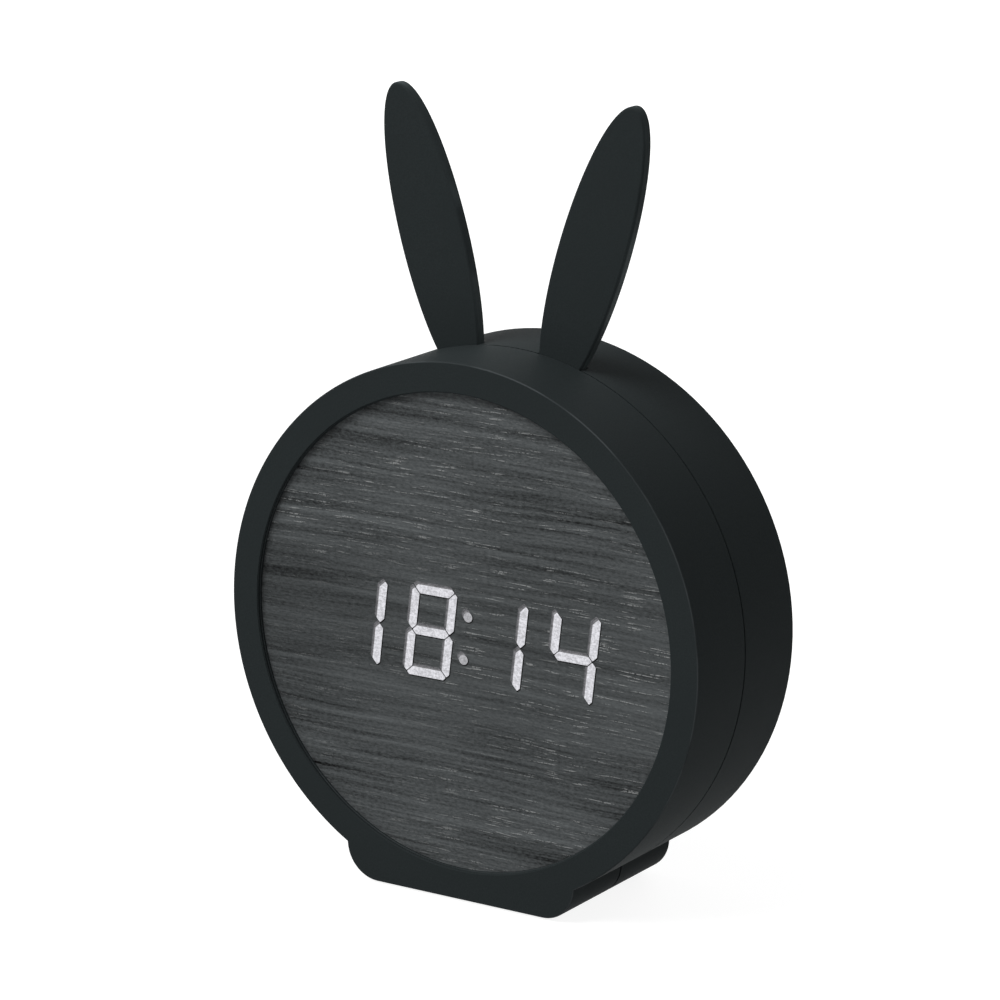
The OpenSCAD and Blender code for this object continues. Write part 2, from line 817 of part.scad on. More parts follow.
module temperature_sensor() {
    bead_r = 1.2;
    bead_up = 3.2;
    wire_r = 0.25;
    wire_x = 0.6;
    color([0.25, 0.1, 0.06])
    back_at(-sound_x, main_back, sound_z) {
        translate([0, 0, bead_up]) sphere(r = bead_r);
        for (side = [-1, 1]) translate([side * wire_x, 0, 0]) cylinder(r = wire_r, h = bead_up);
    }
}

// ---- power socket ----

module socket_outline(grow) {
    half_w = socket_w / 2 + grow;
    half_h = socket_h / 2 + grow;
    cut = 0.8;
    polygon([[-half_w, half_h], [half_w, half_h], [half_w, cut - half_h], [half_w - cut, -half_h],
             [cut - half_w, -half_h], [-half_w, cut - half_h]]);
}

module power_socket() {
    color([0.78, 0.79, 0.8])
    slab(main_back, socket_mouth) translate([socket_x, panel_z]) difference() {
        socket_outline(0);
        socket_outline(-socket_shell);
    }
}

module socket_tongue() {
    base = 1.5;
    blade_t = 0.6;
    blade_up = 0.3;
    blade_in = 0.8;
    blade_side = 0.9;
    color([0.06, 0.06, 0.07]) {
        slab(main_back, main_back + base) translate([socket_x, panel_z]) socket_outline(-socket_shell);
        slab(main_back + base - eps, socket_mouth - blade_in) translate([socket_x, panel_z + blade_up])
            square([socket_w - 2 * (socket_shell + blade_side), blade_t], center = true);
    }
}

// ---- switches and buttons ----

module switch_bodies() {
    color([0.12, 0.12, 0.12])
    difference() {
        slab(main_back, switch_top) at_buttons() square(switch_side, center = true);
        slab(switch_top - plunger_in - button_travel - bore_spare, switch_top + eps)
            at_buttons() circle(d = plunger_d + 2 * guide_gap);
    }
}

module plunger(k) {
    color([0.85, 0.84, 0.8])
    slab(switch_top - plunger_in, flange_front) translate([button_x(k), panel_z]) circle(d = plunger_d);
}

// A cap with a flange inside the panel and a bevelled rim outside
module button(k) {
    rim = 0.4;
    cap_h = button_top - flange_front;
    color([0.1, 0.11, 0.11])
    back_at(button_x(k), flange_front, panel_z) rotate_extrude()
        polygon([[0, 0], [button_d / 2 + flange_w, 0], [button_d / 2 + flange_w, flange_t],
                 [button_d / 2, flange_t], [button_d / 2, cap_h - rim],
                 [button_d / 2 - rim, cap_h], [0, cap_h]]);
}

// ---- batteries ----

function cell_side(k) = k % 2 == 0 ? 1 : -1;
function cell_z(k) = bay_low + cell_gap / 2 + cell_pitch * (k + 0.5);

// A cell lies along X with its nub towards the side given by its place in the row
module cell(k) {
    nub_x = cell_side(k) * (bay_w / 2 - contact_t - cell_gap / 2);
    color([0.2, 0.35, 0.25])
    translate([nub_x, front_y + cell_y, axis_z + cell_z(k)]) rotate([0, -cell_side(k) * 90, 0]) {
        cylinder(d = nub_d, h = nub_l + eps);
        translate([0, 0, nub_l]) cylinder(d = cell_d, h = cell_l - nub_l);
    }
}

// A coil spring on the contact plate at a cell's flat end
module battery_springs() {
    turns = 4;
    per_turn = 16;
    coil_r = 2.6;
    wire_r = 0.25;
    wire_sides = 6;
    steps = per_turn * turns;
    color([0.8, 0.8, 0.8])
    for (k = [0 : cell_count - 1]) {
        from_x = -cell_side(k) * (bay_w / 2 - contact_t - wire_r);
        pitch = cell_side(k) * (spring_l - 2 * wire_r) / steps;
        translate([from_x, front_y + cell_y, axis_z + cell_z(k)])
            tube([for (i = [0 : steps]) let (t = 360 * i / per_turn)
                [pitch * i, coil_r * cos(t), coil_r * sin(t)]], wire_r, wire_sides, [1, 0, 0]);
    }
}

module battery_contacts() {
    color([0.8, 0.8, 0.8])
    for (k = [0 : cell_count - 1], side = [-1, 1])
        translate([side * (bay_w - contact_t) / 2, front_y + cell_y, axis_z + cell_z(k)])
            cube([contact_t, contact_side, contact_side], center = true);
}

// A lead from the bay's end wall up to the front of the main board
module lead(side) {
    depth = front_y + main_front - lead_r;
    start_x = bay_w / 2 + bay_wall;
    start_z = bay_z + bay_h / 2 - lead_drop;
    end_z = main_z - main_board_h / 2 + lead_tail;
    root = [side * start_x, depth, start_z];
    out = [side * lead_r, 0, 0];
    bend = [for (i = [0 : lead_steps])
        bezier(root + out, root + [side * lead_bulge, 0, 0],
               [side * start_x, depth, end_z - lead_bend], [side * lead_end_x, depth, end_z],
               i / lead_steps)];
    translate([0, 0, axis_z]) tube(concat([root], bend), lead_r, lead_sides, [0, 1, 0]);
}

module battery_lead_red() {
    color([0.65, 0.08, 0.07]) lead(1);
}

module battery_lead_black() {
    color([0.05, 0.05, 0.05]) lead(-1);
}

module battery_door() {
    low = -door_h / 2;
    color([0.15, 0.16, 0.17]) {
        slab(door_in, drum_depth) translate([0, bay_z]) rounded_box(door_w, door_h, door_corner);
        for (side = [-1, 1]) slab(door_in, door_in + hook_t)
            translate([side * hook_x - hook_w / 2, bay_z + low - hook_l]) square([hook_w, hook_l + hook_t]);
    }
}

front_housing();
rear_cover();
left_ear();
right_ear();
ear_screws();
face_veneer();
face_adhesive();
display_reflector();
lit_lenses(0);  // hours_tens_segments
lit_lenses(1);  // hours_units_segments
colon_dots();
lit_lenses(2);  // minutes_tens_segments
lit_lenses(3);  // minutes_units_segments
unlit_segments();
segment_leds();
display_board();
driver_chip();
display_screws();
ribbon_cable();
ribbon_connectors();
main_board();
main_board_screws();
controller_chip();
watch_crystal();
smoothing_capacitor();
chip_resistors();
buzzer();
microphone();
temperature_sensor();
power_socket();
socket_tongue();
switch_bodies();
plunger(0);  // set_plunger
plunger(1);  // up_plunger
plunger(2);  // down_plunger
button(0);  // set_button
button(1);  // up_button
button(2);  // down_button
cell(0);  // lower_cell
cell(1);  // middle_cell
cell(2);  // upper_cell
battery_springs();
battery_contacts();
battery_lead_red();
battery_lead_black();
battery_door();
housing_screws();
rubber_strips();
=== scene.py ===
import math

import bmesh
import bpy
import numpy as np
from bpy.props import FloatProperty, FloatVectorProperty, PointerProperty
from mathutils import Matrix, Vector


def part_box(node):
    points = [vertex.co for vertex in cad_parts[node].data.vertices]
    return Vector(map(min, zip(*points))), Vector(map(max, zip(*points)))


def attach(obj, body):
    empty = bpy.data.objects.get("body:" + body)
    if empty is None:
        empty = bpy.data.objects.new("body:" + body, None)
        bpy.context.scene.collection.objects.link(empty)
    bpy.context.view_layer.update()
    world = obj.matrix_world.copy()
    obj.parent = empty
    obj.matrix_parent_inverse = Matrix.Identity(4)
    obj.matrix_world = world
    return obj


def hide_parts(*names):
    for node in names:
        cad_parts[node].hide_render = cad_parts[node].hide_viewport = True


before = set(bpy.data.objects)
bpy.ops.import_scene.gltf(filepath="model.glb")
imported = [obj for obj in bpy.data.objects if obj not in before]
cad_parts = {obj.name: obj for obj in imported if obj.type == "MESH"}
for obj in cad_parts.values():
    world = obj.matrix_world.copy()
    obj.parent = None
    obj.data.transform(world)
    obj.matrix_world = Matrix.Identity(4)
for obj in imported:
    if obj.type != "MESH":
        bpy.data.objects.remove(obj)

bl_info = {
    "name": "Rabbit-eared alarm clock",
    "version": (1, 0, 0),
    "blender": (4, 5, 0),
    "location": "View3D > Sidebar > Clock",
    "description": "Rounded shells, a stained wood face and lit digits for an alarm clock",
    "category": "Add Mesh",
}

MM = 0.001
NEAR = 0.01 * MM              # points this near to a plane lie in it


# ---- measures taken from the frame ----

def mesh_points(mesh):
    """A mesh's points, one row each."""
    points = np.empty(len(mesh.vertices) * 3, np.float32)
    mesh.vertices.foreach_get("co", points)
    return points.reshape(-1, 3).astype(float)


def from_axis(points):
    """Distance of each point from the drum's axis, which runs along Y."""
    return np.hypot(points[:, 0], points[:, 2] - AXIS_Z)


FRONT_POINTS = mesh_points(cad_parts["front_housing"].data)
VENEER_LOW, VENEER_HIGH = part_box("face_veneer")
AXIS_Z = (VENEER_LOW.z + VENEER_HIGH.z) / 2
VENEER_Y = VENEER_LOW.y
DECK_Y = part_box("face_adhesive")[1].y
FRONT_Y = FRONT_POINTS[:, 1].min()
SEAM_Y = FRONT_POINTS[:, 1].max()
FOOT_Z = FRONT_POINTS[:, 2].min()
DRUM_R = from_axis(FRONT_POINTS[FRONT_POINTS[:, 2] > AXIS_Z]).max()
ON_FRONT = FRONT_POINTS[FRONT_POINTS[:, 1] < FRONT_Y + NEAR]
OPENING_R = from_axis(ON_FRONT).min()
FOOT_FLAT = np.abs(ON_FRONT[ON_FRONT[:, 2] < FOOT_Z + NEAR][:, 0]).max()


# ---- what a user would change ----

def length(name, description, default):
    return FloatProperty(name=name, description=description, default=default, min=0, unit="LENGTH",
                         precision=5)


def angle(name, description, degrees):
    return FloatProperty(name=name, description=description, default=math.radians(degrees),
                         subtype="ANGLE")


def colour(name, description, default):
    return FloatVectorProperty(name=name, description=description, default=default, size=3,
                               min=0, max=1, subtype="COLOR")


class ClockSizes(bpy.types.PropertyGroup):
    """Sizes of the rounded edges and of what is shaped here"""
    foot_corner: length("Foot corner", "Radius of the foot's lower corners", 8 * MM)
    wall: length("Wall", "Wall thickness of the housings", 2.4 * MM)
    deck: length("Deck", "Thickness of the deck behind the face", 2 * MM)
    shell_round: length("Shell edge", "Radius of the front shell's outer edge", 0.3 * MM)
    bore_round: length("Bore edge", "Radius of the edge round the sunk face", 0.2 * MM)
    bead_width: length("Bead width", "Width of the bead at the foot of the bore", 0.16 * MM)
    bead_height: length("Bead height", "Height of that bead over the veneer", 0.5 * MM)
    seam_round: length("Seam edge", "Radius of the front shell's edge at the seam", 0.2 * MM)
    cover_round: length("Cover edge", "Width of the bevels on the rear cover", 0.35 * MM)
    small_round: length("Small edge", "Width of the bevels on small fittings", 0.15 * MM)
    ear_length: length("Ear length", "Length of an ear, its hidden tip included", 67.38 * MM)
    ear_width: length("Ear width", "Width of an ear", 16.6 * MM)
    ear_thickness: length("Ear thickness", "Thickness of an ear", 3 * MM)
    ear_round: length("Ear edge", "Radius of an ear's rounded edge", 0.65 * MM)
    ear_crown: length("Ear crown", "How far an ear's face swells at its middle", 0.05 * MM)
    ear_sunk: length("Ear tip inside", "Length of an ear's tip inside the drum", 8.8 * MM)
    ear_tilt: angle("Ear tilt", "Outward tilt of the ears", 17.2)
    ear_lean: angle("Ear lean", "Backward lean of the ears", 1.6)
    ear_angle: angle("Ear place", "Angle from the top at which an ear leaves the drum", 12.6)
    root_length: length("Ear root, length", "Length of the bar that an ear is screwed by", 16 * MM)
    root_height: length("Ear root, height", "Height of that bar", 4.5 * MM)
    root_hole: length("Ear root, hole", "Width of the screw's hole in that bar", 2.3 * MM)
    root_radius: length("Ear root, place", "From the drum's axis to that bar's middle", 53.02 * MM)
    glow_proud: length("Glow", "How far the lit shapes stand before the veneer", 0.05 * MM)
    glow_corner: length("Glow corner", "Radius of a lit shape's corners", 0.25 * MM)
    rim_width: length("Dark rim", "Width of the dark rim round a lit shape", 0.13 * MM)
    rim_shift: length("Dark rim, shift", "How far that rim is moved down and rightwards", 0.12 * MM)
    halo_across: length("Halo, across", "How far a digit's halo lies to its left", 0.55 * MM)
    halo_up: length("Halo, up", "How far a digit's halo lies above it", 0.7 * MM)
    button_round: length("Button edge", "Radius of a button's outer edge", 0.5 * MM)
    button_dish: length("Button dish", "Depth of the dish in a button's top", 0.35 * MM)
    flange_width: length("Button flange, width", "How far the flange stands out", 1 * MM)
    flange_thickness: length("Button flange, thickness", "Thickness of that flange", 0.8 * MM)
    nub_length: length("Cell nub", "How far a cell's nub stands out", 1 * MM)
    band_length: length("Cell band", "Length of the pale band on a cell's sleeve", 11.8 * MM)
    band_place: length("Cell band, place", "From that band to the nub's end of the can", 1.2 * MM)


class ClockColours(bpy.types.PropertyGroup):
    """Colours of the finishes"""
    shell: colour("Housings", "Charcoal plastic of the housings", (0.0168, 0.0206, 0.0214))
    ear: colour("Ears", "Charcoal plastic of the ears", (0.0162, 0.02, 0.0208))
    # Painted highlight: the lighter colour along the front shell's rounded edge and the bore's bead
    edge_light_colour: colour("Painted edge light", "Painted highlight along the plastic's edges", (0.04, 0.045, 0.047))
    # Painted light: lightens the ears' shaded sides and paints a highlight along their rounded
    # edges
    ear_edge_light: colour("Ear edges", "Painted light round the ears' edges and sides",
                     (0.044, 0.054, 0.056))
    wood: colour("Wood", "Middle tone of the stained veneer", (0.0506, 0.0548, 0.0562))
    wood_pore: colour("Wood, pores", "Pale pores of the veneer", (0.285, 0.293, 0.292))
    digit: colour("Digits", "Light of the digits", (0.68, 0.68, 0.72))
    dot: colour("Colon", "Light of the colon", (0.4, 0.4, 0.42))
    halo: colour("Halo", "Faint second image that the veneer throws", (0.1, 0.1, 0.108))
    near_halo: colour("Near halo", "Brighter part of that image", (0.17, 0.17, 0.18))
    # Painted shade round each lit shape, moved down and rightwards
    rim: colour("Dark rim", "Painted shade on the veneer over the wells' walls", (0.012, 0.013, 0.013))


class ClockStage(bpy.types.PropertyGroup):
    """Camera and light"""
    azimuth: angle("Azimuth", "How far the camera stands to the right of the face", 33.18)
    elevation: angle("Elevation", "How far the camera stands above the level", 14.56)
    distance: length("Distance", "From the camera to the point it looks at", 0.9278)
    aim_x: FloatProperty(name="Aim, sideways", description="Sideways place the camera looks at",
                         default=10.85 * MM, unit="LENGTH")
    aim_z: length("Aim, height", "Height that the camera looks at", 92.2 * MM)
    lens: FloatProperty(name="Lens", description="Focal length", default=157.6, unit="CAMERA")
    world: FloatProperty(name="World", description="Strength of the light from all round",
                         default=0.3)
    key: FloatProperty(name="Key lamp", description="Power of the lamp at the upper left",
                       default=42, unit="POWER")
    fill: FloatProperty(name="Fill lamp", description="Power of the lamp at the right",
                        default=3, unit="POWER")
    back: FloatProperty(name="Back lamp", description="Power of the lamp behind the clock",
                        default=26, unit="POWER")


# ---- surfaces ----

def quads(rows, columns, wrap_rows, wrap_columns):
    """Corner numbers of a grid's quads. Where it wraps, the last row or column joins the first."""
    r, c = np.meshgrid(np.arange(rows if wrap_rows else rows - 1),
                       np.arange(columns if wrap_columns else columns - 1), indexing="ij")
    below, beside = (r + 1) % rows, (c + 1) % columns
    here, under = r * columns, below * columns
    return np.stack([here + c, here + beside, under + beside, under + c], axis=-1).reshape(-1, 4)


def surface_mesh(name, *grids, wrap_rows=False, wrap_columns=True, share=None):
    """Closed mesh from grids of points shaped (rows, columns, 3). A row drawn together in one
    point closes a pole. Share gives each row of the first grid a value from 0 to 1 that its finish
    reads."""
    points, faces, start = [], [], 0
    for grid in grids:
        rows, columns = grid.shape[:2]
        points.append(grid.reshape(-1, 3))
        faces.append(quads(rows, columns, wrap_rows, wrap_columns) + start)
        start += rows * columns
    mesh = bpy.data.meshes.new(name)
    mesh.from_pydata(np.concatenate(points), [], np.concatenate(faces).tolist())
    if share is not None:
        first = np.repeat(share, grids[0].shape[1])
        values = np.zeros(len(mesh.vertices), np.float32)
        values[:len(first)] = first
        mesh.attributes.new("share", "FLOAT", "POINT").data.foreach_set("value", values)
    work = bmesh.new()
    work.from_mesh(mesh)
    bmesh.ops.remove_doubles(work, verts=work.verts, dist=MERGE)
    bmesh.ops.recalc_face_normals(work, faces=work.faces)
    work.to_mesh(mesh)
    work.free()
    return mesh


MERGE = 1e-7
FLAT = math.radians(0.2)      # faces nearer than this are one flat face
SHARP = math.radians(32)      # edges past this stay sharp


def merged_copy(node, name):
    """Copy of a CAD node's mesh with its loose triangles merged and its flat faces made whole."""
    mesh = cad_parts[node].data.copy()
    mesh.name = name
    mesh.materials.clear()
    if mesh.has_custom_normals:
        mesh.attributes.remove(mesh.attributes["custom_normal"])
    work = bmesh.new()
    work.from_mesh(mesh)
    bmesh.ops.remove_doubles(work, verts=work.verts, dist=MERGE)
    bmesh.ops.dissolve_limit(work, angle_limit=FLAT, verts=work.verts, edges=work.edges,
                             delimit={"NORMAL"})
    work.to_mesh(mesh)
    work.free()
    return mesh


def make_piece(name, mesh, body, finish, stands_for, bevel=0.0, steps=2):
    """Object from a finished mesh, with bevelled edges if asked, on its body and in the stead of
    the nodes it stands for."""
    mesh.name = name
    piece = bpy.data.objects.new(name, mesh)
    bpy.context.scene.collection.objects.link(piece)
    mesh.polygons.foreach_set("use_smooth", np.ones(len(mesh.polygons), bool))
    mesh.set_sharp_from_angle(angle=SHARP)
    if bevel:
        edge = piece.modifiers.new("Edges", "BEVEL")
        edge.width = bevel
        edge.segments = steps
        edge.limit_method = "ANGLE"
        edge.angle_limit = SHARP
    weighted = piece.modifiers.new("Flat faces", "WEIGHTED_NORMAL")
    weighted.weight = 100
    weighted.keep_sharp = not bevel
    mesh.materials.append(finish)
    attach(piece, body)
    if stands_for:
        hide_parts(*stands_for)
    return piece


def arc(radius, steps):
    """Quarter arc from (radius, 0) to (0, radius), as distances from the corner that it rounds:
    radius times 1 - sine and 1 - cosine of the turn."""
    turn = np.linspace(0, math.pi / 2, steps)
    return radius * (1 - np.sin(turn)), radius * (1 - np.cos(turn))


def lathe(profile, centre, along, steps=64):
    """Surface of revolution: each (distance, radius) of the profile is carried round the axis that
    runs from centre along a unit vector."""
    along = np.array(along, float)
    side = np.cross(along, [0.0, 0.0, 1.0])
    up = np.cross(side, along)
    turn = np.linspace(0, 2 * math.pi, steps, endpoint=False)
    rim = np.cos(turn)[:, None] * side + np.sin(turn)[:, None] * up
    distance, radius = np.array(profile, float).T
    return np.array(centre) + distance[:, None, None] * along + radius[:, None, None] * rim


# ---- finishes ----

class Signal:
    """A shader socket on which Python's operators build Math nodes."""

    def __init__(self, nodes, socket):
        self.nodes = nodes
        self.socket = socket

    def math(self, operation, *values):
        return self.nodes.node("ShaderNodeMath", {"operation": operation}, dict(enumerate(values)))

    def __add__(self, other):
        return self.math("ADD", self, other)

    def __sub__(self, other):
        return self.math("SUBTRACT", self, other)

    def __rsub__(self, other):
        return self.math("SUBTRACT", other, self)

    def __mul__(self, other):
        return self.math("MULTIPLY", self, other)

    __radd__ = __add__
    __rmul__ = __mul__

    def larger(self, other):
        return self.math("MAXIMUM", self, other)

    def step(self, low, high):
        """Rises smoothly from 0 at low to 1 at high."""
        return self.nodes.node("ShaderNodeMapRange", {"interpolation_type": "SMOOTHSTEP"},
                               {"Value": self, "From Min": low, "From Max": high})


class Nodes:
    """A node tree, to which one method adds nodes of any type."""

    def __init__(self, tree):
        self.tree = tree

    def node(self, kind, settings=(), inputs=(), output=0):
        """Adds a node: first its settings, then a value or a link for each socket named."""
        node = self.tree.nodes.new(kind)
        for name, value in dict(settings).items():
            setattr(node, name, value)
        for key, value in dict(inputs).items():
            self.feed(node.inputs[key], value)
        return Signal(self, node.outputs[output])

    def feed(self, socket, value):
        if isinstance(value, Signal):
            self.tree.links.new(value.socket, socket)
        else:
            socket.default_value = value

    def plain_ray(self):
        """1 for a ray that comes from the camera, off a gloss or through glass."""
        camera, gloss, glass = [self.node("ShaderNodeLightPath", output=ray) for ray in
                                ("Is Camera Ray", "Is Glossy Ray", "Is Transmission Ray")]
        return camera.larger(gloss).larger(glass)


class Finish(Nodes):
    """A material whose nodes are built around one Principled shader."""

    def __init__(self, name):
        self.material = bpy.data.materials.new(name)
        self.material.use_nodes = True
        super().__init__(self.material.node_tree)
        self.shader = self.tree.nodes["Principled BSDF"]
        self.here = self.node("ShaderNodeTexCoord", output="Object")

    def set(self, **sockets):
        """Values and links for the Principled shader's own sockets, with _ for a space."""
        for name, value in sockets.items():
            self.feed(self.shader.inputs[name.replace("_", " ")], value)
        return self

    def stretched(self, x, y, z):
        """Object coordinates multiplied along each axis, in cells to the metre."""
        return self.node("ShaderNodeMapping", inputs={"Vector": self.here, "Scale": (x, y, z)})

    def noise(self, vector, scale=1.0, detail=2.0, roughness=0.5, distortion=0.0):
        return self.node("ShaderNodeTexNoise", {"noise_dimensions": "3D"},
                         {"Vector": vector, "Scale": scale, "Detail": detail,
                          "Roughness": roughness, "Distortion": distortion})

    def mix(self, factor, first, second):
        """Blend of two colours: the first where factor is 0."""
        colours = [value if isinstance(value, Signal) else (*value, 1.0)
                   for value in (first, second)]
        return self.node("ShaderNodeMix", {"data_type": "RGBA"},
                         {0: factor, 6: colours[0], 7: colours[1]}, output=2)

    def share(self):
        """The value from 0 to 1 that the mesh gives to its rows."""
        return self.node("ShaderNodeAttribute", {"attribute_name": "share"}, output="Fac")

    def bump(self, height, distance, strength=1.0):
        return self.node("ShaderNodeBump",
                         inputs={"Height": height, "Distance": distance, "Strength": strength})


def shade(value, share):
    """A colour made lighter or darker by a share."""
    return tuple(channel * share for channel in value)


GRAIN = 2600                  # cells to the metre in the moulded grain


def moulded_plastic(name, tone, roughness=0.62, grain=0.03 * MM, specular=0.02, edge_light_colour=None):
    """Spark-eroded plastic: fine pits, a slow change of tone and of gloss, and faint flow marks.
    Where the mesh's share asks for it, edges get a painted highlight: a lighter colour."""
    finish = Finish(name)
    pits = finish.noise(finish.here, GRAIN, 3, 0.6)
    flow = finish.noise(finish.stretched(18, 18, 34), 1, 3, 0.5, 0.4)
    tint = finish.mix(flow.step(0.3, 0.7), shade(tone, 0.94), shade(tone, 1.06))
    colour = finish.mix(pits.step(0.35, 0.65), shade(tone, 0.9), tint)
    gloss = roughness - 0.06 + 0.12 * flow
    if edge_light_colour:
        # Painted light: the mesh's share, broken by noise, mixes in the lighter edge colour
        edge_light_share = finish.share() * (0.3 + 0.7 * finish.noise(finish.here, 60, 2).step(0.4, 0.6))
        colour = finish.mix(edge_light_share, colour, edge_light_colour)
        gloss = gloss - 0.15 * edge_light_share
    height = pits + 0.4 * finish.noise(finish.here, GRAIN / 4, 2)
    return finish.set(
        Base_Color=colour,
        Roughness=gloss,
        Normal=finish.bump(height, grain),
        Specular_IOR_Level=specular,
    ).material


def stained_veneer(colours):
    """Grey stained wood. Its figure is a weighted sum of slow bands, grain, thin streaks and a
    mottle, less its mean: they run along X, drift a little, and are calmer round the middle. Short
    broken pores stand pale in rows, each with a painted shadow below it. The face is painted darker
    towards the left, a painted shade beside the ring, and the pores are plainer at the right and
    the top."""
    finish = Finish("stained_veneer")
    drift = finish.node("ShaderNodeCombineXYZ",
                        inputs={"Z": finish.noise(finish.stretched(11, 1, 26), 1, 2) - 0.5})
    drawn = finish.node("ShaderNodeVectorMath", {"operation": "MULTIPLY_ADD"},
                        {0: drift, 1: (0, 0, 5 * MM), 2: finish.here})

    def along(x, z, detail=2.0, roughness=0.5, raised=0.0):
        """Noise drawn out along the grain, with x and z cells to the metre, raised by a height."""
        vector = finish.node("ShaderNodeMapping", inputs={"Vector": drawn, "Scale": (x, 1, z),
                                                          "Location": (0, 0, -raised * z)})
        return finish.noise(vector, 1, detail, roughness)

    bands = along(7, 190, 3, 0.65)
    grain = along(12, 480, 2)
    streaks = along(30, 1100, 3, 0.6)
    mottle = along(900, 2300, 2, 0.7)
    right, up = [finish.node("ShaderNodeSeparateXYZ", inputs={0: finish.here}, output=axis)
                 for axis in "XZ"]
    slow = finish.noise(finish.stretched(22, 1, 40), 1, 2)
    lively = up.step(AXIS_Z + 5 * MM, AXIS_Z + 30 * MM).larger(
        up.step(AXIS_Z - 10 * MM, AXIS_Z - 35 * MM))
    figure = 1.2 * bands + 1.6 * grain + 1.9 * streaks + 1.7 * mottle - 3.2
    # Painted shade: the step in right darkens the left half of the face, most at its edge beside
    # the ring
    level = 0.73 + 0.32 * right.step(-56 * MM, 6 * MM) + 0.02 * lively \
        + figure * (0.82 + 0.3 * lively)
    plain = right.step(-25 * MM, 10 * MM).larger(0.8 * up.step(AXIS_Z, AXIS_Z + 25 * MM))
    rows = along(18, 520, 1).step(0.42, 0.52) * (0.35 + 0.65 * slow.step(0.35, 0.6)) \
        * (0.3 + 0.7 * plain)
    broken = finish.noise(finish.here, 2700, 1).step(0.34, 0.56)

    def pores(raised):
        return along(150, 2700, 1, 0.5, raised).step(0.58, 0.68)

    pale = pores(0) * rows * broken
    # Painted shadow: the pores moved 0.24 mm, mixed in darker below each pale pore
    dark = pores(-0.24 * MM) * rows
    stain = finish.mix(slow, shade(colours.wood, 0.97), shade(colours.wood, 1.03))
    ground = finish.node("ShaderNodeVectorMath", {"operation": "SCALE"}, {0: stain, "Scale": level})
    pore_shadowed = finish.mix(0.4 * dark, ground, shade(colours.wood, 0.35))
    return finish.set(
        Base_Color=finish.mix(0.7 * pale, pore_shadowed, colours.wood_pore),
        Roughness=0.66 - 0.1 * streaks + 0.1 * pale,
        Normal=finish.bump(streaks + 0.5 * mottle + 0.4 * pale - 0.4 * dark, 0.04 * MM),
        Specular_IOR_Level=0.04,
    ).material


def glowing(name, tone, depth=0.3):
    """Light that shows through the veneer, dimmed in blotches and along the fibres."""
    finish = Finish(name)
    fibres = finish.noise(finish.stretched(420, 1, 2400), 1, 3, 0.7)
    blotches = finish.noise(finish.here, 1900, 3, 0.7)
    dim = (0.4 * fibres + 0.6 * blotches).step(0.38, 0.62)
    return finish.set(
        Base_Color=(0.03, 0.03, 0.03, 1.0),
        Emission_Color=finish.mix(dim, shade(tone, 1 - depth), shade(tone, 1 + depth / 2)),
        Emission_Strength=1.0,
        Roughness=0.7,
        Specular_IOR_Level=0.05,
    ).material


def metal(name, tone, roughness, drawn=(300, 300, 40)):
    """Plated metal with drawn scratches and small changes of gloss."""
    finish = Finish(name)
    scratches = finish.noise(finish.stretched(*[scale * 8 for scale in drawn]), 1, 3, 0.6)
    clouds = finish.noise(finish.here, 220, 2)
    return finish.set(
        Base_Color=finish.mix(clouds.step(0.3, 0.7), shade(tone, 0.88), tone),
        Metallic=1.0,
        Roughness=roughness + 0.12 * scratches,
        Normal=finish.bump(scratches, 0.01 * MM),
    ).material


def rubber(name, tone):
    """Foam rubber: open cells in the surface and a dusty tone."""
    finish = Finish(name)
    cells = finish.node("ShaderNodeTexVoronoi", {"feature": "F1"},
                        {"Vector": finish.here, "Scale": 2200.0})
    dust = finish.noise(finish.here, 320, 3)
    return finish.set(
        Base_Color=finish.mix(dust.step(0.35, 0.75), tone, shade(tone, 2.2)),
        Roughness=0.86 + 0.08 * dust,
        Normal=finish.bump(cells, 0.08 * MM),
        Specular_IOR_Level=0.25,
    ).material


def laminate(name, tone):
    """Circuit board: solder mask over copper tracks that run level, and a woven glass core."""
    finish = Finish(name)
    height = finish.node("ShaderNodeSeparateXYZ", inputs={0: finish.here}, output="Z")
    course = 700 * height + 3 * finish.noise(finish.stretched(60, 1, 60), 1, 1)
    tracks = course.math("PINGPONG", course, 1.0).step(0.6, 0.75)
    weave = finish.noise(finish.here, 1800, 1)
    return finish.set(
        Base_Color=finish.mix(tracks, tone, shade(tone, 1.6)),
        Roughness=0.32 + 0.1 * weave,
        Normal=finish.bump(tracks + 0.2 * weave, 0.03 * MM),
    ).material


def lead_sleeve(name, tone):
    """Extruded insulation: smooth along its length, with faint rings from the die."""
    finish = Finish(name)
    rings = finish.noise(finish.stretched(400, 400, 2400), 1, 2)
    return finish.set(
        Base_Color=finish.mix(rings.step(0.3, 0.7), shade(tone, 0.9), tone),
        Roughness=0.38 + 0.1 * rings,
        Normal=finish.bump(rings, 0.012 * MM),
    ).material


def cell_sleeve(name, tone, band):
    """Printed sleeve of a cell: a plain dark body with a lighter band where the mesh says so."""
    finish = Finish(name)
    stripe = finish.share().step(0.4, 0.6)
    scuffs = finish.noise(finish.stretched(140, 900, 900), 1, 4, 0.6)
    body = finish.mix(scuffs.step(0.55, 0.8), tone, shade(tone, 1.5))
    return finish.set(
        Base_Color=finish.mix(stripe, body, band),
        Roughness=0.28 + 0.2 * scuffs,
        Coat_Weight=0.4,
        Normal=finish.bump(scuffs, 0.01 * MM),
    ).material


# ---- what the operators share ----

def sizes():
    return bpy.context.scene.clock_sizes


def tones():
    return bpy.context.scene.clock_colours


def paint(finish, *nodes):
    """Gives CAD nodes that stay in sight, or inside, their finish."""
    for node in nodes:
        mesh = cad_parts[node].data
        mesh.materials.clear()
        mesh.materials.append(finish)


